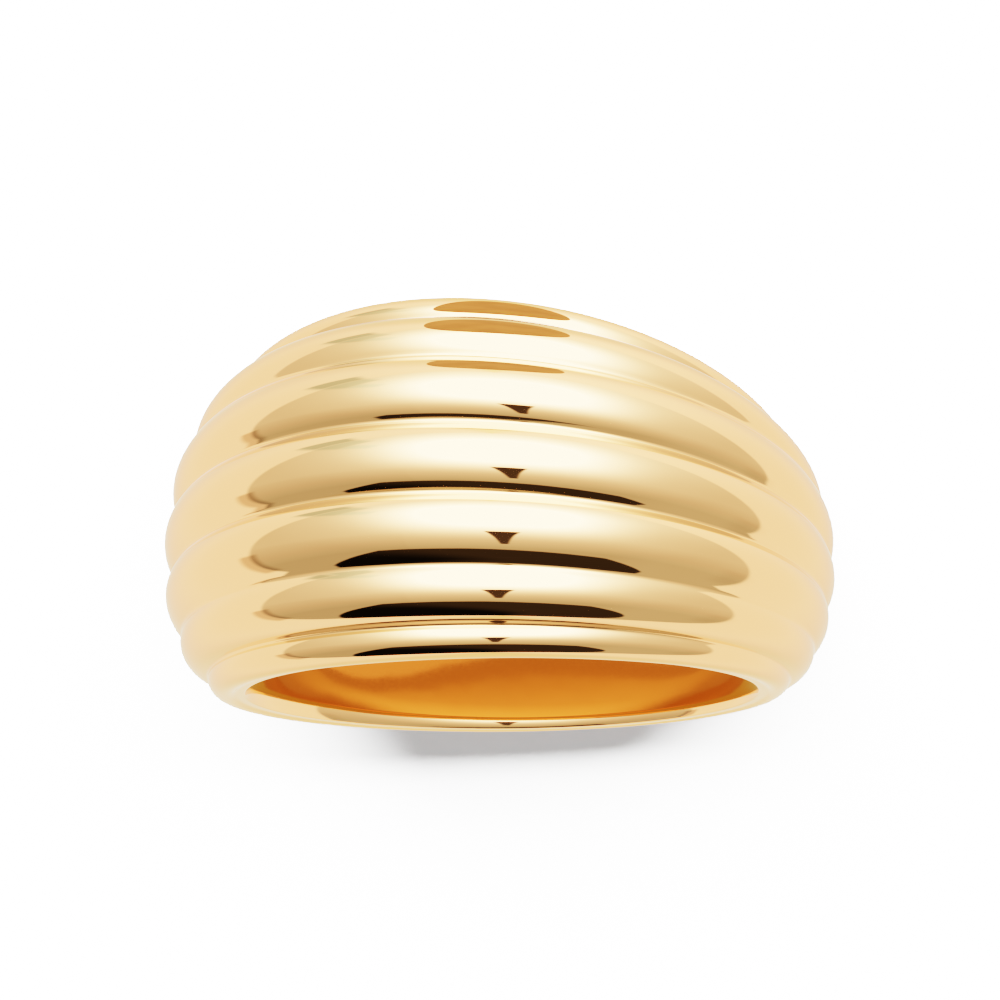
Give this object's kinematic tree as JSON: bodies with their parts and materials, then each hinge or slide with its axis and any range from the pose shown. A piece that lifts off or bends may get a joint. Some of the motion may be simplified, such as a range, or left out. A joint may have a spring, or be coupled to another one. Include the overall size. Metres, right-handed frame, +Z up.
{
  "type": "dome ring",
  "caption": "Domed finger ring of polished yellow gold: rounded ridges run round the finger side by side, wide over the dome and narrow along the back.",
  "frame": {"origin": "centre of the finger hole", "axes": "+Z up; the ring lies on its side as it would by itself, with the dome towards -Y, and the axis of the finger hole leans from +Z towards +Y by 12 degrees"},
  "size_m": [0.0228, 0.0225, 0.0126],
  "materials": {
    "gold": "polished"
  },
  "bodies": {
    "root": {"ring": "gold"}
  },
  "joints": []
}
